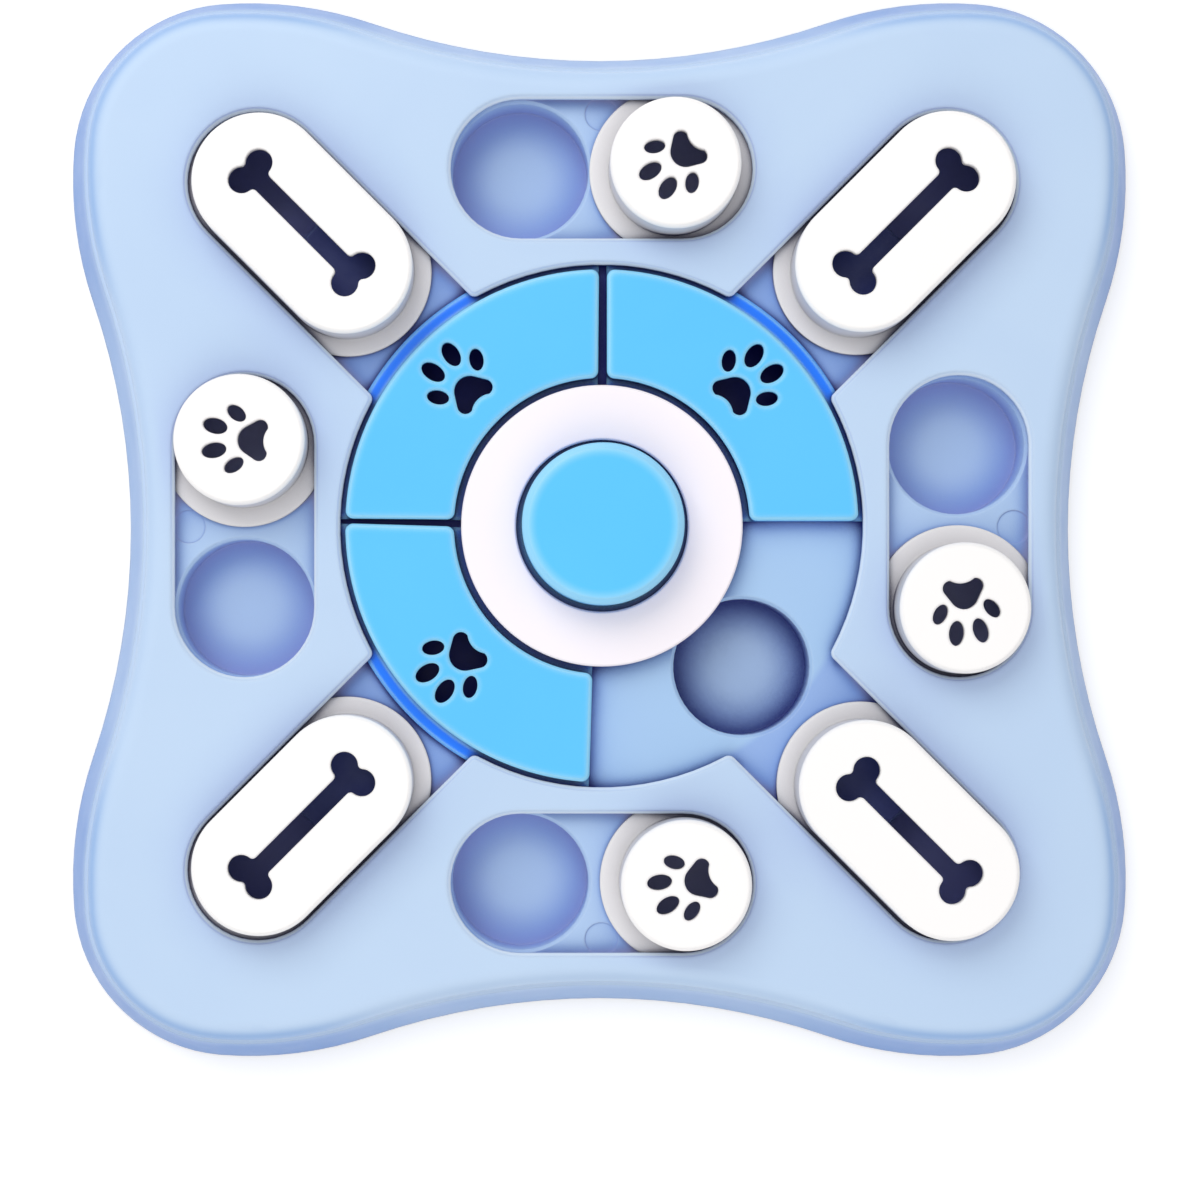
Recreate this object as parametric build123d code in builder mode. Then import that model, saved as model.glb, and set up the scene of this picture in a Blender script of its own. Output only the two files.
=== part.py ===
from build123d import *
import math
import os

# A dog's sliding puzzle feeder, in millimetres. The floor is z = 0 and the hub is on the Z axis.
# A lobed frame lies over a tray of treat wells. Flanged sliders are held between the two.

# Outline of the frame at its foot
side_half = 124.5        # hub to the middle of each hollow side
side_radius = 187.0      # the hollow sides
flank_radius = 100.3     # from each side towards its corner
corner_radius = 42.4
corner_reach = 180.0     # hub to the tip of each corner lobe

# Levels
skirt_foot = 1.2
tray_foot = 2.0
floor_top = 16.4         # the sliders glide on this
frame_top = 21.0
cap_top = 30.5           # paw and bone sliders
ring_top = 21.8
hub_top = 21.8
button_top = 33.5

# Frame
skirt_draft = 21.3       # degrees
skirt_top = 15.3
ledge_inset = 6.5        # the shoulder starts here, inside the skirt's top edge
shoulder_radius = 5.4
skirt_wall = 2.4
shoulder_cavity = 9.8
plate = 2.3
opening_bevel = 1.0
guide_rib = 2.0
guide_rib_reach = 101.0
guide_rib_length = 42.0

# Openings
ring_opening = 67.5
bone_opening_width = 36.3
bone_opening_reach = 143.7
paw_opening_length = 78.0
paw_opening_width = 36.0
paw_row = 92.2           # hub to the middle line of each paw slot
cusp_round = 2.0

# Sliders
glide = 0.3              # air under a flange
flange = 1.5
cap_wall = 2.0
edge_break = 0.8
paw_cap_radius = 16.7
paw_flange_radius = 21.6
bone_cap_width = 34.4
bone_cap_length = 65.2
bone_flange_width = 43.4
bone_flange_length = 74.0
ring_outer = 66.1
ring_inner = 38.1
ring_flange_outer = 69.9
ring_flange_inner = 32.6
ring_end_gap = 1.3       # each end stands this far off the quarter's edge
ring_corner = 2.0
ring_paw_reach = 52.2

# Tray
tray_inset = 10.2
tray_plate = 2.2
tray_wall = 2.2
well_radius = 17.7
well_wall = 1.5
well_floor = 4.8
well_rim = 0.8
paw_well_spread = 21.0   # from the middle of a paw slot to each of its two wells
ring_well_reach = 51.5
bone_well_reach = 125.4
rib = 2.0
rib_foot = 7.0
ejector_mark_reach = 107.0
ejector_mark_radius = 4.3
ejector_mark_depth = 0.25

# Hub, button and squeaker
post_radius = 31.5
chamber_radius = 29.0
chamber_floor = 7.0
chamber_foot = 4.6
hub_radius = 36.25
hub_plate = 2.4
hub_hole = 22.1
button_radius = 20.6
button_lip = 22.7
button_wall = 2.0
button_edge = 1.6
lip_thickness = 1.8
bellows_radius = 16.0
bellows_wall = 1.5
reed_radius = 4.0
reed_bore = 1.2
reed_height = 3.0

# Fixings
boss_radius = 3.6
boss_foot = 8.0
socket_radius = 3.9
screw_seat = 5.6         # the case screws' heads bear here, above the feet
case_screw_length = 10.0
hub_screw_circle = 25.8
hub_boss_radius = 2.6
hub_screw_length = 9.0
shank_radius = 1.4
pilot_radius = 1.45
screw_clearance = 1.8
screw_head_radius = 3.0
screw_head_height = 1.9
head_pocket_radius = 3.4
foot_reach = 155.0       # the feet and the case screws
foot_radius = 7.0
foot_height = 3.6
foot_cup = 9.0

flange_foot = floor_top + glide
flange_top = flange_foot + flange
plate_foot = frame_top - plate
tray_under = floor_top - tray_plate
hub_under = hub_top - hub_plate

# Centres and angles of the outline's arcs, in the first quarter
corner_centre = Vector(corner_reach - corner_radius, 0).rotate(Axis.Z, 45)
side_centre = Vector(side_half + side_radius, 0)
span = side_centre - corner_centre
inner_arm = flank_radius - corner_radius
outer_arm = flank_radius + side_radius
along = (inner_arm**2 - outer_arm**2 + span.length**2) / (2 * span.length)
across = math.sqrt(inner_arm**2 - along**2)
flank_centre = corner_centre + span.normalized() * along - span.normalized().rotate(Axis.Z, 90) * across
side_angle = math.degrees(math.atan2(flank_centre.Y, side_centre.X - flank_centre.X))
corner_start = math.degrees(math.atan2(corner_centre.Y - flank_centre.Y, corner_centre.X - flank_centre.X))
flank_sweep = side_angle + corner_start
mirrored_flank = Vector(flank_centre.Y, flank_centre.X)


def lobed_face(inset, mode=Mode.ADD):
    with BuildLine(mode=Mode.PRIVATE) as outline:
        for turn in (0, 90, 180, 270):
            arcs = (
                (side_centre, side_radius + inset, 180 + side_angle, -2 * side_angle),
                (flank_centre, flank_radius - inset, -side_angle, flank_sweep),
                (corner_centre, corner_radius - inset, corner_start, 90 - 2 * corner_start),
                (mirrored_flank, flank_radius - inset, 90 - corner_start, flank_sweep),
            )
            for centre, radius, start, sweep in arcs:
                CenterArc(centre.rotate(Axis.Z, turn), radius, start + turn, sweep)
    make_face(outline.edges(), mode=mode)


def quarters(places):
    return [(x * i, y * j) for x, y in places for i in (1, -1) for j in (1, -1)]


def disc_ring(outer, inner):
    Circle(outer)
    Circle(inner, mode=Mode.SUBTRACT)


def paw_cutout(scale=1.0):
    # Four toes and a pad, pointing along +X from the pad's front edge
    with BuildSketch(mode=Mode.PRIVATE) as pad:
        with Locations((-3.55, 0)):
            Circle(3.9)
        with Locations((-5.3, 3.3), (-5.3, -3.3)):
            Circle(2.0)
        make_hull()
        with Locations((-11.3, 0)):
            Circle(5.0, mode=Mode.SUBTRACT)
        heel = pad.vertices().group_by(Axis.X)[0]
        fillet(heel.filter_by(lambda v: abs(v.Y) < 3.5), 0.6)
    add(pad.sketch.scale(scale))
    toes = ((0.9, 6.6, 2.75, 1.75, 35), (6.15, 3.1, 3.2, 2.0, 12))
    for x, y, half_length, half_width, splay in toes:
        for side in (1, -1):
            with Locations((x * scale, side * y * scale)):
                Ellipse(half_length * scale, half_width * scale, rotation=side * splay)


def bone_cutout():
    lobe_reach, lobe_offset, lobe_radius, shaft, crook = 18.5, 3.1, 3.5, 5.0, 1.2
    with BuildSketch(mode=Mode.PRIVATE) as bone:
        Rectangle(2 * lobe_reach, shaft)
        with GridLocations(2 * lobe_reach, 2 * lobe_offset, 2, 2):
            Circle(lobe_radius)
        fillet(bone.vertices(), crook)
    add(bone.sketch)


def quarter_ring(outer, inner, gap, corner=0.0):
    # A quarter of a ring about the origin, centred on +X, with its ends parallel to the quarter's edges
    with BuildSketch(mode=Mode.PRIVATE) as sector:
        disc_ring(outer, inner)
        with Locations(Location((gap * math.sqrt(2), 0, 0), (0, 0, -45))):
            Rectangle(outer, outer, align=(Align.MIN, Align.MIN), mode=Mode.INTERSECT)
        if corner:
            fillet(sector.vertices(), corner)
    add(sector.sketch)


def save(piece, name):
    piece.part.label = name
    export_step(piece.part, f"parts/{name}.step")


os.makedirs("parts", exist_ok=True)

# Top frame: a shell with a flared skirt, a ledge, a rounded shoulder and the openings
corner_places = quarters([(foot_reach * math.sqrt(0.5), foot_reach * math.sqrt(0.5))])
arm_start = ring_opening - bone_opening_width / 2
arm_end = bone_opening_reach - bone_opening_width / 2
guide_rib_gap = bone_flange_width + 1.2 + guide_rib
with BuildPart() as top_frame:
    with BuildSketch(Plane.XY.offset(skirt_foot)):
        lobed_face(0)
    extrude(amount=skirt_top - skirt_foot, taper=skirt_draft)
    with BuildSketch(Plane.XY.offset(skirt_top)):
        lobed_face(ledge_inset)
    extrude(amount=frame_top - skirt_top)
    fillet(top_frame.faces().sort_by(Axis.Z)[-1].edges(), shoulder_radius)
    with BuildSketch(Plane.XY.offset(skirt_foot)):
        lobed_face(skirt_wall)
    extrude(amount=skirt_top - skirt_foot, taper=skirt_draft, mode=Mode.SUBTRACT)
    with BuildSketch(Plane.XY.offset(skirt_top)):
        lobed_face(shoulder_cavity)
    extrude(amount=plate_foot - skirt_top, mode=Mode.SUBTRACT)
    with BuildSketch(Plane.XY.offset(frame_top)) as openings:
        Circle(ring_opening)
        with PolarLocations((arm_start + arm_end) / 2, 4, start_angle=45):
            SlotCenterToCenter(arm_end - arm_start, bone_opening_width)
        fillet(openings.vertices().filter_by(lambda v: math.hypot(v.X, v.Y) < ring_opening + 0.1), cusp_round)
        with PolarLocations(paw_row, 4):
            SlotOverall(paw_opening_length, paw_opening_width, rotation=90)
    extrude(amount=-plate, mode=Mode.SUBTRACT)
    rims = top_frame.faces().sort_by(Axis.Z)[-1].inner_wires()
    chamfer([edge for rim in rims for edge in rim.edges()], opening_bevel)
    # Guide ribs beside the diagonal channels, which also rest on the tray
    with BuildSketch(Plane.XY.offset(floor_top)):
        with PolarLocations(guide_rib_reach, 4, start_angle=45):
            with GridLocations(0, guide_rib_gap, 1, 2):
                Rectangle(guide_rib_length, guide_rib)
    extrude(amount=plate_foot - floor_top)
    # Screw bosses reach down through the tray
    with BuildSketch(Plane.XY.offset(boss_foot)):
        with Locations(*corner_places):
            Circle(boss_radius)
    extrude(amount=plate_foot - boss_foot)
    with BuildSketch(Plane.XY.offset(boss_foot)):
        with Locations(*corner_places):
            Circle(pilot_radius)
    extrude(amount=case_screw_length, mode=Mode.SUBTRACT)
save(top_frame, "top_frame")

# Base tray: the gliding floor, the treat wells below it, the hub post and the screw seats
ring_well = ring_well_reach * math.sqrt(0.5)
bone_well = bone_well_reach * math.sqrt(0.5)
paw_wells = quarters([(paw_row, paw_well_spread), (paw_well_spread, paw_row)])
wells = paw_wells + quarters([(ring_well, ring_well), (bone_well, bone_well)])
wall_reach = side_half - tray_inset - tray_wall / 2
with BuildPart() as base_tray:
    with BuildSketch(Plane.XY.offset(tray_under)):
        lobed_face(tray_inset)
    extrude(amount=tray_plate)
    with BuildSketch(Plane.XY.offset(tray_foot)):
        lobed_face(tray_inset)
        lobed_face(tray_inset + tray_wall, mode=Mode.SUBTRACT)
    extrude(amount=tray_under - tray_foot)
    # Ribs under the floor, along the axes and the diagonals
    with BuildSketch(Plane.XY.offset(rib_foot)):
        with PolarLocations((post_radius + wall_reach) / 2 - 0.5, 4):
            Rectangle(wall_reach - post_radius + 1, rib)
        with PolarLocations((ring_well_reach + bone_well_reach) / 2, 4, start_angle=45):
            Rectangle(bone_well_reach - ring_well_reach - 2 * well_radius, rib)
    extrude(amount=tray_under - rib_foot)
    with BuildSketch(Plane.XY.offset(well_floor - well_wall)):
        with Locations(*wells):
            Circle(well_radius + well_wall)
    extrude(amount=tray_under - well_floor + well_wall)
    with BuildSketch(Plane.XY.offset(chamber_foot)):
        Circle(post_radius)
    extrude(amount=hub_under - chamber_foot)
    # Columns for the feet and the case screws
    with BuildSketch(Plane.XY.offset(tray_foot)):
        with Locations(*corner_places):
            Circle(foot_cup)
    extrude(amount=tray_under - tray_foot)
    # Hollows
    with BuildSketch(Plane.XY.offset(well_floor)):
        with Locations(*wells):
            Circle(well_radius)
    extrude(amount=floor_top - well_floor, mode=Mode.SUBTRACT)
    with BuildSketch(Plane.XY.offset(chamber_floor)):
        Circle(chamber_radius)
    extrude(amount=hub_top - chamber_floor, mode=Mode.SUBTRACT)
    # From below in each column: the foot, the screw's head, its shank, and the frame's boss
    steps = (
        (tray_foot, foot_height, foot_radius),
        (foot_height, screw_seat, head_pocket_radius),
        (screw_seat, boss_foot, screw_clearance),
        (boss_foot, floor_top, socket_radius),
    )
    for low, high, radius in steps:
        with BuildSketch(Plane.XY.offset(low)):
            with Locations(*corner_places):
                Circle(radius)
        extrude(amount=high - low, mode=Mode.SUBTRACT)
    with BuildSketch(Plane.XY.offset(chamber_foot)):
        with PolarLocations(hub_screw_circle, 3, start_angle=90):
            Circle(screw_clearance)
    extrude(amount=chamber_floor - chamber_foot, mode=Mode.SUBTRACT)
    with BuildSketch(Plane.XY.offset(floor_top)):
        with PolarLocations(ejector_mark_reach, 4):
            Circle(ejector_mark_radius)
    extrude(amount=-ejector_mark_depth, mode=Mode.SUBTRACT)
    with BuildSketch(Plane.XY.offset(floor_top - well_rim)):
        with Locations(*wells):
            Circle(well_radius)
    extrude(amount=well_rim, taper=-45, mode=Mode.SUBTRACT)
save(base_tray, "base_tray")

# Hub cover: a disc that overhangs the ring sliders, with three screw bosses
with BuildPart() as hub_cover:
    with BuildSketch(Plane.XY.offset(hub_under)):
        disc_ring(hub_radius, hub_hole)
    extrude(amount=hub_plate)
    chamfer(hub_cover.faces().sort_by(Axis.Z)[-1].edges(), 0.4)
    with BuildSketch(Plane.XY.offset(chamber_floor)):
        with PolarLocations(hub_screw_circle, 3, start_angle=90):
            Circle(hub_boss_radius)
    extrude(amount=hub_under - chamber_floor)
    with BuildSketch(Plane.XY.offset(chamber_floor)):
        with PolarLocations(hub_screw_circle, 3, start_angle=90):
            Circle(pilot_radius)
    extrude(amount=hub_screw_length, mode=Mode.SUBTRACT)
save(hub_cover, "hub_cover")

# Button: a hollow cap with a lip that stops it under the hub cover
lip_top = hub_under - 0.2
lip_foot = lip_top - lip_thickness
button_under = button_top - button_wall
with BuildPart() as button:
    with BuildSketch(Plane.XY.offset(lip_foot)):
        Circle(button_radius)
    extrude(amount=button_top - lip_foot)
    chamfer(button.faces().sort_by(Axis.Z)[-1].edges(), button_edge)
    with BuildSketch(Plane.XY.offset(lip_foot)):
        Circle(button_lip)
    extrude(amount=lip_thickness)
    with BuildSketch(Plane.XY.offset(lip_foot)):
        Circle(button_radius - button_wall)
    extrude(amount=button_under - lip_foot, mode=Mode.SUBTRACT)
save(button, "button")

# Squeaker: a soft bellows between the chamber floor and the button, and its reed plug
with BuildPart() as squeaker_bellows:
    with BuildSketch(Plane.XY.offset(chamber_floor)):
        Circle(bellows_radius)
    extrude(amount=button_under - chamber_floor)
    with BuildSketch(Plane.XY.offset(chamber_floor)):
        Circle(reed_radius)
    extrude(amount=reed_height, mode=Mode.SUBTRACT)
    with BuildSketch(Plane.XY.offset(chamber_floor + reed_height)):
        Circle(bellows_radius - bellows_wall)
    extrude(amount=button_under - chamber_floor - reed_height - bellows_wall, mode=Mode.SUBTRACT)
save(squeaker_bellows, "squeaker_bellows")

with BuildPart() as squeaker_reed:
    with BuildSketch(Plane.XY.offset(chamber_floor)):
        disc_ring(reed_radius, reed_bore)
    extrude(amount=reed_height)
save(squeaker_reed, "squeaker_reed")

# Paw sliders: the centre of each, and the bearing of its toes in degrees
paw_sliders = {
    "top": ((18.5, 91.9), 226),
    "left": ((-92.5, 21.5), 177),
    "right": ((92.1, -21.3), 277),
    "bottom": ((21.2, -91.8), 200),
}
for place, (centre, toes) in paw_sliders.items():
    base = Plane(origin=(*centre, flange_foot), x_dir=Vector(1, 0).rotate(Axis.Z, toes), z_dir=(0, 0, 1))
    with BuildPart() as paw_slider:
        with BuildSketch(base):
            Circle(paw_flange_radius)
        extrude(amount=flange)
        with BuildSketch(base.offset(flange)):
            Circle(paw_cap_radius)
        extrude(amount=cap_top - flange_top)
        chamfer(paw_slider.faces().sort_by(Axis.Z)[-1].edges(), edge_break)
        with BuildSketch(base):
            Circle(paw_cap_radius - cap_wall)
        extrude(amount=cap_top - cap_wall - flange_foot, mode=Mode.SUBTRACT)
        with BuildSketch(base.offset(cap_top - flange_foot)):
            paw_cutout()
        extrude(amount=-cap_wall, mode=Mode.SUBTRACT)
    save(paw_slider, f"paw_slider_{place}")

# Bone sliders: how far each centre is from the hub, and the bearing of its diagonal
bone_sliders = {
    "top_left": (108.2, 135),
    "top_right": (108.8, 45),
    "bottom_left": (108.3, 225),
    "bottom_right": (110.1, 315),
}
bone_straight = bone_cap_length - bone_cap_width
for place, (reach, bearing) in bone_sliders.items():
    outward = Vector(1, 0).rotate(Axis.Z, bearing)
    base = Plane(origin=outward * reach + Vector(0, 0, flange_foot), x_dir=outward, z_dir=(0, 0, 1))
    with BuildPart() as bone_slider:
        with BuildSketch(base):
            SlotOverall(bone_flange_length, bone_flange_width)
        extrude(amount=flange)
        with BuildSketch(base.offset(flange)):
            SlotCenterToCenter(bone_straight, bone_cap_width)
        extrude(amount=cap_top - flange_top)
        chamfer(bone_slider.faces().sort_by(Axis.Z)[-1].edges(), edge_break)
        with BuildSketch(base):
            SlotCenterToCenter(bone_straight, bone_cap_width - 2 * cap_wall)
        extrude(amount=cap_top - cap_wall - flange_foot, mode=Mode.SUBTRACT)
        with BuildSketch(base.offset(cap_top - flange_foot)):
            bone_cutout()
        extrude(amount=-cap_wall, mode=Mode.SUBTRACT)
    save(bone_slider, f"bone_slider_{place}")

# Ring sliders: the bearing of each from the hub, in degrees
ring_sliders = {"top_left": 134.5, "top_right": 45.0, "bottom_left": 223.3}
for place, bearing in ring_sliders.items():
    base = Plane(origin=(0, 0, flange_foot), x_dir=Vector(1, 0).rotate(Axis.Z, bearing), z_dir=(0, 0, 1))
    with BuildPart() as ring_slider:
        with BuildSketch(base):
            quarter_ring(ring_flange_outer, ring_flange_inner, ring_end_gap)
        extrude(amount=flange)
        with BuildSketch(base.offset(flange)):
            quarter_ring(ring_outer, ring_inner, ring_end_gap, ring_corner)
        extrude(amount=ring_top - flange_top)
        chamfer(ring_slider.faces().sort_by(Axis.Z)[-1].edges(), edge_break)
        with BuildSketch(base):
            quarter_ring(ring_outer - cap_wall, ring_inner + cap_wall, ring_end_gap + cap_wall)
        extrude(amount=ring_top - cap_wall - flange_foot, mode=Mode.SUBTRACT)
        with BuildSketch(base.offset(ring_top - flange_foot)):
            with Locations((ring_paw_reach, 0)):
                paw_cutout(1.05)
        extrude(amount=-cap_wall, mode=Mode.SUBTRACT)
    save(ring_slider, f"ring_slider_{place}")

# Feet and screws
foot_names = ("rear_right", "front_right", "rear_left", "front_left")
for name, (x, y) in zip(foot_names, corner_places):
    with BuildPart() as foot:
        with BuildSketch(Plane((x, y, 0))):
            Circle(foot_radius)
        extrude(amount=foot_height)
    save(foot, f"foot_{name}")

with BuildPart() as case_screws:
    with BuildSketch(Plane.XY.offset(screw_seat - screw_head_height)):
        with Locations(*corner_places):
            Circle(screw_head_radius)
    extrude(amount=screw_head_height)
    with BuildSketch(Plane.XY.offset(screw_seat)):
        with Locations(*corner_places):
            Circle(shank_radius)
    extrude(amount=case_screw_length)
save(case_screws, "case_screws")

with BuildPart() as hub_screws:
    with BuildSketch(Plane.XY.offset(chamber_foot - screw_head_height)):
        with PolarLocations(hub_screw_circle, 3, start_angle=90):
            Circle(screw_head_radius)
    extrude(amount=screw_head_height)
    with BuildSketch(Plane.XY.offset(chamber_foot)):
        with PolarLocations(hub_screw_circle, 3, start_angle=90):
            Circle(shank_radius)
    extrude(amount=hub_screw_length)
save(hub_screws, "hub_screws")
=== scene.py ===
import bpy
import bmesh
import math
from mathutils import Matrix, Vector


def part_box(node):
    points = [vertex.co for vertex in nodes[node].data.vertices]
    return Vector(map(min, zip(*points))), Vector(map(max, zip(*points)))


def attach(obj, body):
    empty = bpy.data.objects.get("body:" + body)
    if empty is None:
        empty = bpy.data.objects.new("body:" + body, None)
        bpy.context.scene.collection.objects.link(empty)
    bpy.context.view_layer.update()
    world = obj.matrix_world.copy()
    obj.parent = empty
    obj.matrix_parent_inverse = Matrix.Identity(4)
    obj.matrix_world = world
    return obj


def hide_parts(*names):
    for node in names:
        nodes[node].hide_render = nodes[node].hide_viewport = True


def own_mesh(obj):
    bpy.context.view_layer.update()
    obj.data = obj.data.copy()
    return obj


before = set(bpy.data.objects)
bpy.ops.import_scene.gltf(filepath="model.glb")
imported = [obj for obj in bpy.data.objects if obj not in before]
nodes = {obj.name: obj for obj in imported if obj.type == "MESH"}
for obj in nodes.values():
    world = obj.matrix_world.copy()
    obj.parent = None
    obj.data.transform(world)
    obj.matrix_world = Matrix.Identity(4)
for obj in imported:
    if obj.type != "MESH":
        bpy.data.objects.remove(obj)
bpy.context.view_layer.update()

# camera, straight above the toy and a little off its middle
cameraView = {
    "place": (-0.0211, -0.0320, 0.650),
    "lens": 73.24,
    "shift": (0.0667, 0.0417),
}
camera = bpy.data.objects.new("topCamera", bpy.data.cameras.new("topCamera"))
camera.location = cameraView["place"]
camera.data.lens = cameraView["lens"]
camera.data.sensor_width = 36.0
camera.data.shift_x, camera.data.shift_y = cameraView["shift"]
bpy.context.collection.objects.link(camera)
bpy.context.scene.camera = camera
print("camera placed")


def shade(red, green, blue):
    # an 8 bit screen colour as the linear colour that nodes take
    def linear(value):
        value /= 255
        return value / 12.92 if value <= 0.04045 else ((value + 0.055) / 1.055) ** 2.4
    return (linear(red), linear(green), linear(blue), 1.0)


def addNode(tree, kind, values=None, **settings):
    node = tree.nodes.new(kind)
    for name, value in settings.items():
        setattr(node, name, value)
    for name, value in (values or {}).items():
        feed(tree, node.inputs[name], value)
    return node


def feed(tree, socket, value):
    if isinstance(value, bpy.types.NodeSocket):
        tree.links.new(value, socket)
    else:
        socket.default_value = value


def sums(tree, operation, first, second=0.0, clamp=False):
    node = addNode(tree, "ShaderNodeMath", operation=operation, use_clamp=clamp)
    feed(tree, node.inputs[0], first)
    feed(tree, node.inputs[1], second)
    return node.outputs[0]


def blendColours(tree, amount, first, second):
    node = addNode(tree, "ShaderNodeMix", data_type="RGBA")
    feed(tree, node.inputs["Factor"], amount)
    feed(tree, node.inputs["A"], first)
    feed(tree, node.inputs["B"], second)
    return node.outputs["Result"]


def spread(tree, value, low, high, toLow=0.0, toHigh=1.0, style="SMOOTHSTEP"):
    node = addNode(tree, "ShaderNodeMapRange", interpolation_type=style)
    for name, amount in (("Value", value), ("From Min", low), ("From Max", high),
                         ("To Min", toLow), ("To Max", toHigh)):
        feed(tree, node.inputs[name], amount)
    return node.outputs["Result"]


def newGroup(name, inputs, outputs):
    tree = bpy.data.node_groups.new(name, "ShaderNodeTree")
    for label, kind, value in inputs:
        socket = tree.interface.new_socket(label, in_out="INPUT", socket_type=kind)
        socket.default_value = value
    for label, kind in outputs:
        tree.interface.new_socket(label, in_out="OUTPUT", socket_type=kind)
    return tree, addNode(tree, "NodeGroupInput").outputs, addNode(tree, "NodeGroupOutput").inputs


def useGroup(tree, group, **values):
    node = tree.nodes.new("ShaderNodeGroup")
    node.node_tree = group
    for name, value in values.items():
        feed(tree, node.inputs[name], value)
    return node.outputs


def makeSoftEdge():
    # rounds the normals near an edge, and marks the edge and the slanted rim above it for a painted
    # highlight
    rimStart, rimEnd = (0.995, 0.88), (0.35, 0.60)  # the upward share of the normal where the rim fades
    tree, given, result = newGroup(
        "softEdge",
        [("Radius", "NodeSocketFloat", 0.0008), ("Gain", "NodeSocketFloat", 3.0)],
        [("Normal", "NodeSocketVector"), ("Edge", "NodeSocketFloat"), ("Rim", "NodeSocketFloat")],
    )
    rounded = addNode(tree, "ShaderNodeBevel", {"Radius": given["Radius"]}, samples=6).outputs[0]
    face = addNode(tree, "ShaderNodeNewGeometry").outputs["Normal"]
    dot = addNode(tree, "ShaderNodeVectorMath", operation="DOT_PRODUCT")
    feed(tree, dot.inputs[0], rounded)
    feed(tree, dot.inputs[1], face)
    turned = sums(tree, "SUBTRACT", 1.0, dot.outputs["Value"])
    feed(tree, result["Normal"], rounded)
    feed(tree, result["Edge"], sums(tree, "MULTIPLY", turned, given["Gain"], clamp=True))
    upward = addNode(tree, "ShaderNodeSeparateXYZ", {"Vector": rounded}).outputs["Z"]
    feed(tree, result["Rim"], sums(tree, "MULTIPLY", spread(tree, upward, *rimStart),
                                   spread(tree, upward, *rimEnd)))
    return tree


def makeMouldGrain():
    # the skin of a moulded part: a fine bump, slow changes of tone, and uneven gloss
    skin = {
        "fineShare": 0.35, "waveShare": 0.65, "waveScale": 3.0, "smearScale": 6.0,
        "toneRange": (0.3, 0.7), "glossRange": (0.35, 0.65),
    }
    tree, given, result = newGroup(
        "mouldGrain",
        [("Grain", "NodeSocketFloat", 900.0), ("Flow", "NodeSocketFloat", 14.0)],
        [("Height", "NodeSocketFloat"), ("Tone", "NodeSocketFloat"), ("Gloss", "NodeSocketFloat")],
    )
    place = addNode(tree, "ShaderNodeTexCoord").outputs["Object"]
    fine = addNode(tree, "ShaderNodeTexNoise",
                   {"Vector": place, "Scale": given["Grain"], "Detail": 2.0, "Roughness": 0.5})
    wave = addNode(tree, "ShaderNodeTexNoise",
                   {"Vector": place, "Scale": sums(tree, "MULTIPLY", given["Flow"], skin["waveScale"]),
                    "Detail": 1.0})
    slow = addNode(tree, "ShaderNodeTexNoise",
                   {"Vector": place, "Scale": given["Flow"], "Detail": 3.0, "Roughness": 0.55,
                    "Distortion": 0.6})
    height = sums(tree, "ADD", sums(tree, "MULTIPLY", fine.outputs[0], skin["fineShare"]),
                  sums(tree, "MULTIPLY", wave.outputs[0], skin["waveShare"]))
    feed(tree, result["Height"], height)
    feed(tree, result["Tone"], spread(tree, slow.outputs[0], *skin["toneRange"]))
    smear = addNode(tree, "ShaderNodeTexNoise",
                    {"Vector": place, "Scale": sums(tree, "MULTIPLY", given["Flow"], skin["smearScale"]),
                     "Detail": 4.0})
    feed(tree, result["Gloss"], spread(tree, smear.outputs[0], *skin["glossRange"], style="LINEAR"))
    return tree


def makeDeepShade():
    # marks corners, gaps and the insides of hollows, where painted shade goes
    tree, given, result = newGroup(
        "deepShade",
        [("Distance", "NodeSocketFloat", 0.02), ("Open", "NodeSocketFloat", 0.9),
         ("Shut", "NodeSocketFloat", 0.2)],
        [("Deep", "NodeSocketFloat")],
    )
    hidden = addNode(tree, "ShaderNodeAmbientOcclusion", {"Distance": given["Distance"]}, samples=12)
    shadeMask = spread(tree, hidden.outputs["AO"], given["Shut"], given["Open"], 1.0, 0.0, "LINEAR")
    feed(tree, result["Deep"], shadeMask)
    return tree


def makeWherePlaced():
    # height, distance from the hub's axis, and the smaller and larger of the distances along X and Y
    tree, _, result = newGroup(
        "wherePlaced", [],
        [("Height", "NodeSocketFloat"), ("Radius", "NodeSocketFloat"),
         ("OffAxis", "NodeSocketFloat"), ("Outward", "NodeSocketFloat")],
    )
    place = addNode(tree, "ShaderNodeTexCoord").outputs["Object"]
    parts = addNode(tree, "ShaderNodeSeparateXYZ", {"Vector": place}).outputs
    level = addNode(tree, "ShaderNodeVectorMath", {0: place, 1: (1.0, 1.0, 0.0)}, operation="MULTIPLY")
    length = addNode(tree, "ShaderNodeVectorMath", {0: level.outputs["Vector"]}, operation="LENGTH")
    feed(tree, result["Height"], parts["Z"])
    feed(tree, result["Radius"], length.outputs["Value"])
    across, along = sums(tree, "ABSOLUTE", parts["X"]), sums(tree, "ABSOLUTE", parts["Y"])
    feed(tree, result["OffAxis"], sums(tree, "MINIMUM", across, along))
    feed(tree, result["Outward"], sums(tree, "MAXIMUM", across, along))
    return tree


softEdge = makeSoftEdge()
mouldGrain = makeMouldGrain()
deepShade = makeDeepShade()
wherePlaced = makeWherePlaced()
print("shader groups built")

plasticIor = 1.49
grainDepth = 0.0002


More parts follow.
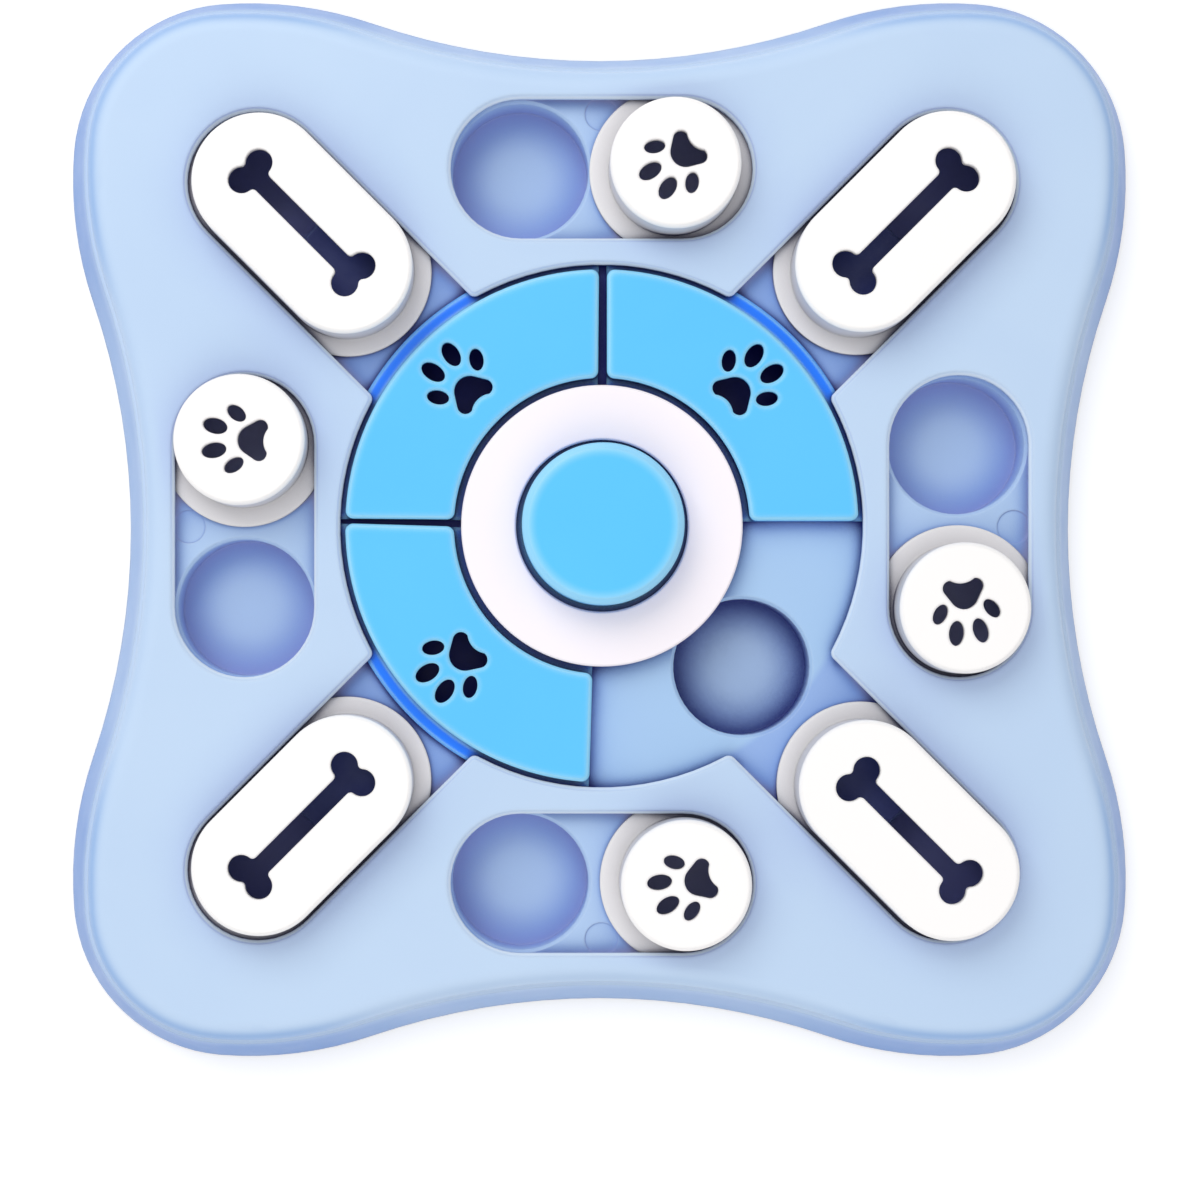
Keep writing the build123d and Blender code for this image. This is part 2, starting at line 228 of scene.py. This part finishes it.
def mouldedPlastic(name, look):
    # look: colours as shade(), bands of painted shade and painted highlight by height, painted shade for
    # hollows and gaps; lengths in metres
    material = bpy.data.materials.new(name)
    material.use_nodes = True
    tree = material.node_tree
    finish = tree.nodes["Principled BSDF"]
    edge = useGroup(tree, softEdge, Radius=look["edgeRadius"], Gain=look.get("edgeGain", 3.0))
    grain = useGroup(tree, mouldGrain, Grain=look.get("grain", 900.0), Flow=look.get("flow", 14.0))
    where = useGroup(tree, wherePlaced)

    def limited(mask, part):
        # keeps a mask to a range of radius, height or distance from the axes, with a soft start
        for key, measure in (("reach", "Radius"), ("above", "Height"), ("below", "Height"),
                             ("offAxis", "OffAxis"), ("outward", "Outward")):
            if key in part:
                start, end, least = part[key]
                inRange = spread(tree, where[measure], start, end, least, 1.0)
                mask = sums(tree, "MULTIPLY", mask, inRange)
        return mask

    colour = blendColours(tree, sums(tree, "MULTIPLY", grain["Tone"], look["toneShare"]),
                          look["colour"], look["toneColour"])
    # painted shade and painted highlight, in bands by height and place
    for band in look.get("shadeAndHighlightBands", ()):
        inBand = spread(tree, where["Height"], band["full"], band["none"], band["share"], 0.0)
        colour = blendColours(tree, limited(inBand, band), colour, band["colour"])
    # painted highlight: a paler colour along edges and on the slanted rim above them
    highlightMask = sums(tree, "MULTIPLY", edge["Edge"], look["edgeHighlightShare"])
    highlightMask = limited(highlightMask, look.get("edgeHighlightLimits", {}))
    if "rimHighlightShare" in look:
        rim = sums(tree, "MULTIPLY", edge["Rim"], look["rimHighlightShare"])
        highlightMask = sums(tree, "MAXIMUM", highlightMask, rim)
    colour = blendColours(tree, highlightMask, colour, look["edgeHighlightColour"])
    # painted shade: tints corners, gaps and hollows by how hidden they are
    for shadeTint in look.get("paintedShades", ()):
        shadeMask = useGroup(tree, deepShade, Distance=shadeTint["distance"], Open=shadeTint["open"],
                        Shut=shadeTint["shut"])["Deep"]
        shadeMask = limited(sums(tree, "MULTIPLY", shadeMask, shadeTint["share"]), shadeTint)
        colour = blendColours(tree, shadeMask, colour, shadeTint["colour"])
    feed(tree, finish.inputs["Base Color"], colour)

    low, high = look["roughness"]
    feed(tree, finish.inputs["Roughness"], spread(tree, grain["Gloss"], 0.0, 1.0, low, high, "LINEAR"))
    bump = addNode(tree, "ShaderNodeBump",
                   {"Strength": look["bump"], "Distance": grainDepth,
                    "Height": grain["Height"], "Normal": edge["Normal"]})
    feed(tree, finish.inputs["Normal"], bump.outputs["Normal"])
    finish.inputs["IOR"].default_value = plasticIor
    finish.inputs["Specular IOR Level"].default_value = look.get("specular", 0.5)
    finish.inputs["Coat Weight"].default_value = look.get("coat", 0.0)
    finish.inputs["Coat Roughness"].default_value = look.get("coatRoughness", 0.15)
    return material


def dress(material, *names):
    for name in names:
        piece = nodes[name]
        if not piece.material_slots:
            piece.data.materials.append(material)
        for holder in piece.material_slots:
            holder.material = material


# painted shade: the dark navy inside the white caps' hollows and under them
navyHollowShade = shade(22, 26, 66)
corners = ("front_left", "front_right", "rear_left", "rear_right")
feet = ["foot_" + corner for corner in corners]

# ranges in metres: where a tint starts, where it is in full, and the share of it before the start
pastPlate, withinPlate = (0.1112, 0.1122, 0.0), (0.1122, 0.1112, 0.0)
upperTray, boneWells = (0.0152, 0.0160, 0.0), (0.040, 0.046, 0.0)

# the pale blue housing: painted shade, a deeper blue on the shoulder and its lobes and on the skirt and
# its lobes, and a painted highlight on the rim of the plate round the openings
frameLook = {
    "colour": shade(194, 216, 242), "toneColour": shade(187, 210, 239), "toneShare": 0.5,
    "edgeHighlightColour": shade(224, 239, 255), "edgeHighlightShare": 0.7, "edgeRadius": 0.0014,
    "edgeHighlightLimits": {"above": (0.0110, 0.0150, 0.0)},
    "shadeAndHighlightBands": [
        {"full": 0.0193, "none": 0.0210, "share": 0.14, "colour": shade(146, 182, 228),
         "outward": pastPlate, "above": (0.0158, 0.0182, 0.4)},
        {"full": 0.0193, "none": 0.0210, "share": 0.56, "colour": shade(122, 166, 224),
         "outward": pastPlate, "above": (0.0158, 0.0182, 0.6), "reach": (0.134, 0.156, 0.0)},
        {"full": 0.0150, "none": 0.0172, "share": 0.25, "colour": shade(96, 146, 212),
         "outward": pastPlate},
        {"full": 0.0100, "none": 0.0172, "share": 0.42, "colour": shade(100, 146, 212)},
        {"full": 0.0110, "none": 0.0176, "share": 0.40, "colour": shade(76, 126, 206),
         "reach": (0.134, 0.158, 0.0)},
        # painted highlight on the bevels round the openings
        {"full": 0.0202, "none": 0.0209, "share": 0.60, "colour": shade(236, 246, 255),
         "above": (0.0196, 0.0200, 0.0), "outward": withinPlate},
    ],
    # painted shade: a pale violet halo on the plate round the caps and openings, and dark walls in the
    # openings; the last entry is painted light that lightens the crease at the ledge
    "paintedShades": [
        {"distance": 0.016, "open": 0.95, "shut": 0.40, "share": 0.50, "colour": shade(150, 164, 230),
         "above": (0.0205, 0.0209, 0.0)},
        {"distance": 0.004, "open": 0.50, "shut": 0.12, "share": 0.7, "colour": shade(60, 72, 150),
         "above": (0.0160, 0.0180, 0.0), "below": (0.0206, 0.0199, 0.0)},
        {"distance": 0.003, "open": 0.95, "shut": 0.50, "share": 0.85, "colour": shade(216, 234, 255),
         "above": (0.0146, 0.0151, 0.0), "below": (0.0168, 0.0158, 0.0)},
    ],
    "roughness": (0.28, 0.36), "bump": 0.08, "specular": 0.15,
}
# the tray: painted shade on the ring's quarter, in the diagonal channels, and in the wells by where they
# lie
trayLook = {
    "colour": shade(180, 206, 240), "toneColour": shade(171, 199, 237), "toneShare": 0.5,
    "edgeHighlightColour": shade(206, 225, 248), "edgeHighlightShare": 0.75, "edgeRadius": 0.0008,
    "shadeAndHighlightBands": [
        {"full": 0.0, "none": 1.0, "share": 0.75, "colour": shade(166, 201, 238),
         "reach": (0.0695, 0.0665, 0.0), "above": upperTray},
        {"full": 0.0, "none": 1.0, "share": 0.38, "colour": shade(96, 140, 222),
         "reach": (0.0665, 0.0690, 0.0), "offAxis": (0.028, 0.034, 0.0), "above": upperTray},
    ],
    # painted shade: blue in corners, violet and dark navy under the caps and the ring sliders, darker in
    # the bone wells
    "paintedShades": [
        {"distance": 0.014, "open": 0.86, "shut": 0.28, "share": 0.9, "colour": shade(62, 114, 208)},
        {"distance": 0.030, "open": 0.50, "shut": 0.26, "share": 1.0, "colour": shade(170, 174, 220)},
        {"distance": 0.030, "open": 0.50, "shut": 0.26, "share": 1.0, "colour": shade(64, 74, 142),
         "offAxis": boneWells},
        {"distance": 0.030, "open": 0.50, "shut": 0.26, "share": 1.0, "colour": shade(128, 134, 200),
         "offAxis": boneWells, "above": (0.0155, 0.0110, 0.0)},
        {"distance": 0.030, "open": 0.62, "shut": 0.36, "share": 1.0, "colour": shade(6, 22, 112),
         "reach": (0.0735, 0.0695, 0.0)},
    ],
    "roughness": (0.32, 0.44), "bump": 0.08, "specular": 0.2,
}
# white caps: painted shade, grey on the walls and the flange and navy in the hollows and gaps, and a
# near-white painted highlight on the edges
capLook = {
    "colour": shade(254, 252, 251), "toneColour": shade(251, 249, 249), "toneShare": 0.4,
    "edgeHighlightColour": shade(255, 254, 253), "edgeHighlightShare": 0.8, "edgeRadius": 0.0012,
    "shadeAndHighlightBands": [
        {"full": 0.0284, "none": 0.0300, "share": 0.80, "colour": shade(206, 204, 208)},
        {"full": 0.0183, "none": 0.0186, "share": 1.0, "colour": shade(236, 234, 236)},
    ],
    "paintedShades": [
        {"distance": 0.012, "open": 0.80, "shut": 0.36, "share": 0.52, "colour": shade(112, 110, 118),
         "below": (0.0300, 0.0280, 0.0)},
        {"distance": 0.006, "open": 0.46, "shut": 0.26, "share": 0.8, "colour": shade(52, 54, 96),
         "below": (0.0290, 0.0270, 0.0)},
        {"distance": 0.014, "open": 0.30, "shut": 0.10, "share": 1.0, "colour": navyHollowShade},
    ],
    "roughness": (0.34, 0.46), "bump": 0.10, "specular": 0.4,
}
# painted highlight on the edges and the rounded rim; painted shade, a deeper blue on the walls and the
# flange and navy in the gaps
ringLook = {
    "colour": shade(92, 198, 255), "toneColour": shade(86, 194, 254), "toneShare": 0.5,
    "edgeHighlightColour": shade(160, 226, 255), "edgeHighlightShare": 0.9, "edgeRadius": 0.0024, "edgeGain": 9.0,
    "rimHighlightShare": 0.85, "edgeHighlightLimits": {"above": (0.0206, 0.0213, 0.2)},
    "shadeAndHighlightBands": [
        {"full": 0.0196, "none": 0.0213, "share": 0.55, "colour": shade(16, 120, 235)},
        {"full": 0.0183, "none": 0.0190, "share": 1.0, "colour": shade(0, 124, 255)},
    ],
    "paintedShades": [
        {"distance": 0.010, "open": 0.64, "shut": 0.26, "share": 1.0, "colour": shade(0, 6, 80)},
    ],
    "roughness": (0.30, 0.38), "bump": 0.08, "coat": 0.1, "coatRoughness": 0.2, "specular": 0.4,
}
# painted highlight on the edges; painted shade, a violet tint round the button and navy at the hole's
# edge
hubLook = {
    "colour": shade(255, 247, 252), "toneColour": shade(254, 245, 250), "toneShare": 0.4,
    "edgeHighlightColour": shade(255, 253, 255), "edgeHighlightShare": 0.7, "edgeRadius": 0.0007,
    "paintedShades": [
        {"distance": 0.010, "open": 0.80, "shut": 0.35, "share": 0.25, "colour": shade(226, 206, 240)},
        {"distance": 0.006, "open": 0.30, "shut": 0.08, "share": 0.8, "colour": shade(18, 22, 90)},
    ],
    "roughness": (0.34, 0.44), "bump": 0.08, "specular": 0.4,
}
# painted highlight on the edges and a pale band on the top's rim; painted shade, a deeper blue on the
# wall and navy in the gap
buttonLook = {
    "colour": shade(86, 198, 255), "toneColour": shade(80, 194, 254), "toneShare": 0.5,
    "edgeHighlightColour": shade(170, 229, 252), "edgeHighlightShare": 0.9, "edgeRadius": 0.0018, "edgeGain": 4.0,
    "shadeAndHighlightBands": [
        {"full": 0.0, "none": 1.0, "share": 0.55, "colour": shade(190, 236, 252),
         "reach": (0.0164, 0.0204, 0.0), "above": (0.0308, 0.0324, 0.0)},
        {"full": 0.0200, "none": 0.0310, "share": 0.60, "colour": shade(20, 96, 208)},
    ],
    "paintedShades": [
        {"distance": 0.008, "open": 0.55, "shut": 0.15, "share": 1.0, "colour": shade(2, 18, 92)},
    ],
    "roughness": (0.30, 0.38), "bump": 0.08, "coat": 0.3, "coatRoughness": 0.15, "specular": 0.4,
}
# painted highlight: a paler colour along the edges
reedLook = {
    "colour": shade(232, 230, 226), "toneColour": shade(222, 220, 216), "toneShare": 0.6,
    "edgeHighlightColour": shade(246, 245, 242), "edgeHighlightShare": 0.6, "edgeRadius": 0.0003,
    "roughness": (0.35, 0.5), "bump": 0.15,
}
# painted highlight: a paler colour along the edges
rubberLook = {
    "colour": shade(206, 212, 220), "toneColour": shade(196, 203, 213), "toneShare": 0.7,
    "edgeHighlightColour": shade(222, 227, 233), "edgeHighlightShare": 0.5, "edgeRadius": 0.0006,
    "grain": 1600.0, "flow": 30.0, "roughness": (0.62, 0.78), "bump": 0.4, "specular": 0.3,
}
caps = ["bone_slider_" + c for c in ("top_left", "top_right", "bottom_left", "bottom_right")]
caps += ["paw_slider_" + s for s in ("top", "left", "right", "bottom")]
dress(mouldedPlastic("housingBlue", frameLook), "top_frame")
dress(mouldedPlastic("trayBlue", trayLook), "base_tray")
dress(mouldedPlastic("capWhite", capLook), *caps)
dress(mouldedPlastic("ringBlue", ringLook),
      "ring_slider_top_left", "ring_slider_top_right", "ring_slider_bottom_left")
dress(mouldedPlastic("hubWhite", hubLook), "hub_cover")
dress(mouldedPlastic("buttonBlue", buttonLook), "button")
dress(mouldedPlastic("reedIvory", reedLook), "squeaker_reed")
footRubber = mouldedPlastic("footRubber", rubberLook)
dress(footRubber, *feet)
print("mouldings dressed")


def platedSteel(name, look):
    material = bpy.data.materials.new(name)
    material.use_nodes = True
    tree = material.node_tree
    finish = tree.nodes["Principled BSDF"]
    edge = useGroup(tree, softEdge, Radius=look["edgeRadius"], Gain=look["edgeGain"])
    grain = useGroup(tree, mouldGrain, Grain=look["grain"], Flow=look["flow"])
    colour = blendColours(tree, grain["Tone"], look["colour"], look["toneColour"])
    # painted highlight: a paler colour along the edges
    highlightMask = sums(tree, "MULTIPLY", edge["Edge"], look["edgeHighlightShare"])
    colour = blendColours(tree, highlightMask, colour, look["edgeHighlightColour"])
    feed(tree, finish.inputs["Base Color"], colour)
    low, high = look["roughness"]
    feed(tree, finish.inputs["Roughness"], spread(tree, grain["Gloss"], 0.0, 1.0, low, high, "LINEAR"))
    bump = addNode(tree, "ShaderNodeBump",
                   {"Strength": look["bump"], "Distance": look["bumpDepth"],
                    "Height": grain["Height"], "Normal": edge["Normal"]})
    feed(tree, finish.inputs["Normal"], bump.outputs["Normal"])
    finish.inputs["Metallic"].default_value = 1.0
    return material


steelLook = {
    "colour": shade(190, 192, 196), "toneColour": shade(172, 174, 180),
    "edgeHighlightColour": shade(226, 228, 230), "edgeHighlightShare": 0.6, "edgeRadius": 0.0003, "edgeGain": 4.0,
    "grain": 2400.0, "flow": 60.0, "roughness": (0.24, 0.42), "bump": 0.2, "bumpDepth": 0.0001,
}
zincPlate = platedSteel("zincPlate", steelLook)
dress(zincPlate, "case_screws", "hub_screws")


def turnedMesh(name, profile, steps, radiusAt=None):
    # turns a closed profile of (radius, height) points about Z; a point on the axis is one vertex
    build = bmesh.new()
    columns = []
    for reach, height in profile:
        if reach == 0:
            columns.append([build.verts.new((0, 0, height))] * steps)
            continue
        column = []
        for step in range(steps):
            angle = 2 * math.pi * step / steps
            arm = radiusAt(reach, height, angle) if radiusAt else reach
            column.append(build.verts.new((arm * math.cos(angle), arm * math.sin(angle), height)))
        columns.append(column)
    for i, here in enumerate(columns):
        there = columns[(i + 1) % len(columns)]
        for step in range(steps):
            turn = (step + 1) % steps
            corners = list(dict.fromkeys((here[step], here[turn], there[turn], there[step])))
            if len(corners) > 2:
                build.faces.new(corners)
    bmesh.ops.recalc_face_normals(build, faces=build.faces)
    mesh = bpy.data.meshes.new(name)
    build.to_mesh(mesh)
    build.free()
    for face in mesh.polygons:
        face.use_smooth = True
    piece = bpy.data.objects.new(name, mesh)
    bpy.context.collection.objects.link(piece)
    return piece


def settle(piece):
    # applies a piece's modifiers and leaves a plain mesh
    ready = piece.evaluated_get(bpy.context.evaluated_depsgraph_get())
    piece.data = bpy.data.meshes.new_from_object(ready)
    piece.modifiers.clear()


def repeat(piece, places):
    # copies the mesh to each place, all in one piece
    build = bmesh.new()
    for x, y, z in places:
        build.from_mesh(piece.data)
        fresh = build.verts[len(build.verts) - len(piece.data.vertices):]
        bmesh.ops.translate(build, vec=(x, y, z), verts=fresh)
    build.to_mesh(piece.data)
    build.free()


def middle(node):
    (lowX, lowY, _), (highX, highY, _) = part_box(node)
    return (lowX + highX) / 2, (lowY + highY) / 2


# the squeaker's bulb, folded like a concertina
bellowsShape = {
    "foot": 0.0070, "top": 0.0312, "outer": 0.0158, "inner": 0.0128,
    "folds": 4, "wall": 0.0011, "mouth": 0.0041, "crownShare": 0.82,
    "crown": 0.0030, "collar": 0.0012, "lip": 0.0004, "steps": 48,
}


def makeBellows(shape):
    count, wall, inner = shape["folds"], shape["wall"], shape["inner"]
    step = (shape["top"] - shape["foot"] - shape["crown"]) / count
    low = shape["foot"] + shape["collar"]
    outside = [(shape["mouth"], shape["foot"]), (inner, shape["foot"])]
    for fold in range(count):
        outside.append((inner, low + fold * step))
        outside.append((shape["outer"], low + (fold + 0.5) * step))
    outside.append((inner, low + count * step))
    outside.append((inner * shape["crownShare"], shape["top"]))
    outside.append((0, shape["top"]))
    roof = shape["top"] - wall
    inside = [(0, roof), (inner * shape["crownShare"] - wall / 2, roof)]
    for fold in range(count, 0, -1):
        inside.append((inner - wall, low + fold * step))
        inside.append((shape["outer"] - wall, low + (fold - 0.5) * step))
    inside.append((inner - wall, low + shape["lip"]))
    inside.append((shape["mouth"], shape["foot"] + wall))
    piece = turnedMesh("squeakerBulb", outside + inside, shape["steps"])
    smooth = piece.modifiers.new("softFolds", "SUBSURF")
    smooth.levels = smooth.render_levels = 2
    return piece


bulb = makeBellows(bellowsShape)
bulbLook = {**rubberLook, "colour": shade(220, 224, 230)}
bulb.data.materials.append(mouldedPlastic("bulbRubber", bulbLook))
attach(bulb, "base")
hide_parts("squeaker_bellows")
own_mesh(bulb)
print("squeaker bulb built")

# rubber feet: a domed pad with two grip grooves in its sole
footShape = {
    "radius": 0.0069, "height": 0.0036, "round": 0.0009, "steps": 64,
    "grooves": ((0.0022, 0.0007), (0.0042, 0.0007)), "grooveDepth": 0.0006, "slope": 0.0003,
    "bends": 5, "sharpAngle": 30,
}


def makeFoot(name, shape):
    sole = [(0, 0)]
    for groove, half in shape["grooves"]:
        sole += [(groove - half, 0), (groove - half + shape["slope"], shape["grooveDepth"]),
                 (groove + half - shape["slope"], shape["grooveDepth"]), (groove + half, 0)]
    radius, bend = shape["radius"], shape["round"]
    for turn in range(shape["bends"] + 1):
        angle = math.pi / 2 * turn / shape["bends"]
        sole.append((radius - bend + bend * math.sin(angle), bend - bend * math.cos(angle)))
    sole += [(radius, shape["height"]), (0, shape["height"])]
    foot = turnedMesh(name + "Pad", sole, shape["steps"])
    repeat(foot, [(*middle(name), 0.0)])
    foot.data.materials.append(footRubber)
    foot.data.set_sharp_from_angle(angle=math.radians(shape["sharpAngle"]))
    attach(foot, "base")
    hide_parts(name)


for footName in feet:
    makeFoot(footName, footShape)
print("feet built")

# self-tapping screws, heads down, with a cross recess and a coarse thread
screwShape = {
    "headRadius": 0.0029, "headHeight": 0.0018, "rim": 0.0006, "shank": 0.00138, "core": 0.00112,
    "pitch": 0.00125, "plain": 0.0008, "tip": 0.0022, "steps": 28, "rows": 8,
    "bevel": 0.00012, "bends": 6, "crest": 3.2, "tipShare": 0.35, "sharpAngle": 50, "gap": 0.0001,
    "recessDeep": 0.0011, "recessReach": 0.0017, "recessHalf": 0.00036,
    "recessMouth": 1.1, "recessEnd": 0.6, "recessStart": 0.001,
}


def makeScrew(name, shape, length):
    # the seat under the head is at height 0, the shank goes up
    head = [(0, -shape["headHeight"])]
    dome = shape["headHeight"] - shape["rim"]
    for turn in range(1, shape["bends"] + 1):
        angle = math.pi / 2 * turn / shape["bends"]
        head.append((shape["headRadius"] * math.sin(angle), -shape["rim"] - dome * math.cos(angle)))
    head += [(shape["headRadius"], -shape["bevel"]), (shape["headRadius"] - shape["bevel"], 0)]
    rows = int((length - shape["plain"]) / shape["pitch"] * shape["rows"])
    shank = [(shape["core"], 0), (shape["core"], shape["plain"])]
    for row in range(1, rows):
        shank.append((shape["core"], shape["plain"] + (length - shape["plain"]) * row / rows))

    def threadAt(reach, height, angle):
        if height <= shape["plain"]:
            return reach
        fade = min(1, (length - height) / shape["tip"], (height - shape["plain"]) / shape["pitch"])
        phase = (height / shape["pitch"] - angle / (2 * math.pi)) % 1
        crest = max(0, 1 - abs(phase - 0.5) * shape["crest"])
        taper = min(1, shape["tipShare"] + (1 - shape["tipShare"]) * (length - height) / shape["tip"])
        return (reach + (shape["shank"] - shape["core"]) * crest * fade) * taper

    screw = turnedMesh(name, head + shank + [(0, length)], shape["steps"], threadAt)
    screw.data.set_sharp_from_angle(angle=math.radians(shape["sharpAngle"]))

    cross = bmesh.new()
    reach, half, foot = shape["recessReach"], shape["recessHalf"], -shape["headHeight"]
    mouth, end = shape["recessMouth"], shape["recessEnd"]
    start, bottom = foot - shape["recessStart"], foot + shape["recessDeep"]
    outline = [(half, reach), (half, half), (reach, half),
               (reach, -half), (half, -half), (half, -reach),
               (-half, -reach), (-half, -half), (-reach, -half),
               (-reach, half), (-half, half), (-half, reach)]
    low = [cross.verts.new((x * mouth, y * mouth, start)) for x, y in outline]
    high = [cross.verts.new((x * end, y * end, bottom)) for x, y in outline]
    cross.faces.new(low)
    cross.faces.new(high)
    for i in range(len(outline)):
        j = (i + 1) % len(outline)
        cross.faces.new((low[i], low[j], high[j], high[i]))
    bmesh.ops.recalc_face_normals(cross, faces=cross.faces)
    tool = bpy.data.objects.new(name + "Recess", bpy.data.meshes.new(name + "Recess"))
    cross.to_mesh(tool.data)
    cross.free()
    bpy.context.collection.objects.link(tool)
    cut = screw.modifiers.new("recess", "BOOLEAN")
    cut.operation, cut.solver, cut.object = "DIFFERENCE", "EXACT", tool
    settle(screw)
    bpy.data.objects.remove(tool)
    return screw


def placeScrews(node, label, places, shape):
    lowest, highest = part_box(node)
    seat = lowest[2] + shape["headHeight"] + shape["gap"]
    screws = makeScrew(label, shape, highest[2] - seat)
    repeat(screws, [(x, y, seat) for x, y in places])
    screws.data.materials.clear()
    screws.data.materials.append(zincPlate)
    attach(screws, "base")
    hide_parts(node)


placeScrews("case_screws", "caseScrews", [middle(name) for name in feet], screwShape)
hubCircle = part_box("hub_screws")[1][1] - screwShape["headRadius"] - screwShape["gap"]
hubTurns = [math.radians(turn) for turn in (90, 210, 330)]
hubPlaces = [(hubCircle * math.cos(turn), hubCircle * math.sin(turn)) for turn in hubTurns]
placeScrews("hub_screws", "hubScrews", hubPlaces, screwShape)
print("screws built")

# floor, sky and lamps
stageLook = {
    "floorSize": 3.0, "floorColour": (0.86, 0.86, 0.87, 1.0), "floorRoughness": 0.9, "floorLift": 0.31,
    "skyStrength": 0.68, "backdropStrength": 1.0,
    "lamps": {
        "softKey": {"place": (-0.40, 0.66, 0.85), "size": 0.8, "power": 5.3},
        "frontFill": {"place": (-0.05, -0.60, 0.60), "size": 0.6, "power": 1.2},
    },
}


def seenRays(tree):
    # 1 where the camera, a reflection or glass sees the surface, 0 where it only gives light
    path = addNode(tree, "ShaderNodeLightPath").outputs
    seen = sums(tree, "MAXIMUM", path["Is Camera Ray"], path["Is Glossy Ray"])
    return sums(tree, "MAXIMUM", seen, path["Is Transmission Ray"])


def makeFloor(look):
    mesh = bpy.data.meshes.new("studioFloor")
    half = look["floorSize"]
    square = [(-half, -half, 0), (half, -half, 0), (half, half, 0), (-half, half, 0)]
    mesh.from_pydata(square, [], [(0, 1, 2, 3)])
    floor = bpy.data.objects.new("studioFloor", mesh)
    bpy.context.collection.objects.link(floor)
    material = bpy.data.materials.new("studioPaper")
    material.use_nodes = True
    tree = material.node_tree
    finish = tree.nodes["Principled BSDF"]
    finish.inputs["Base Color"].default_value = look["floorColour"]
    finish.inputs["Roughness"].default_value = look["floorRoughness"]
    finish.inputs["Specular IOR Level"].default_value = 0.0
    lift = sums(tree, "MULTIPLY", seenRays(tree), look["floorLift"])
    feed(tree, finish.inputs["Emission Strength"], lift)
    finish.inputs["Emission Color"].default_value = (1, 1, 1, 1)
    mesh.materials.append(material)


def makeSky(look):
    world = bpy.data.worlds.new("studioSky")
    bpy.context.scene.world = world
    world.use_nodes = True
    tree = world.node_tree
    sky = tree.nodes["Background"]
    sky.inputs["Color"].default_value = (1, 1, 1, 1)
    unseen, shown = look["skyStrength"], look["backdropStrength"]
    strength = spread(tree, seenRays(tree), 0.0, 1.0, unseen, shown, "LINEAR")
    feed(tree, sky.inputs["Strength"], strength)


def makeLamp(name, look):
    # a square soft box that faces the toy
    lamp = bpy.data.lights.new(name, "AREA")
    lamp.shape = "SQUARE"
    lamp.size = look["size"]
    lamp.energy = look["power"]
    holder = bpy.data.objects.new(name, lamp)
    holder.location = look["place"]
    x, y, z = look["place"]
    holder.rotation_euler = (math.atan2(math.hypot(x, y), z), 0, math.atan2(y, x) + math.pi / 2)
    bpy.context.collection.objects.link(holder)


makeFloor(stageLook)
makeSky(stageLook)
for lampName, lampLook in stageLook["lamps"].items():
    makeLamp(lampName, lampLook)
bpy.context.scene.view_settings.view_transform = "Standard"
print("stage set")
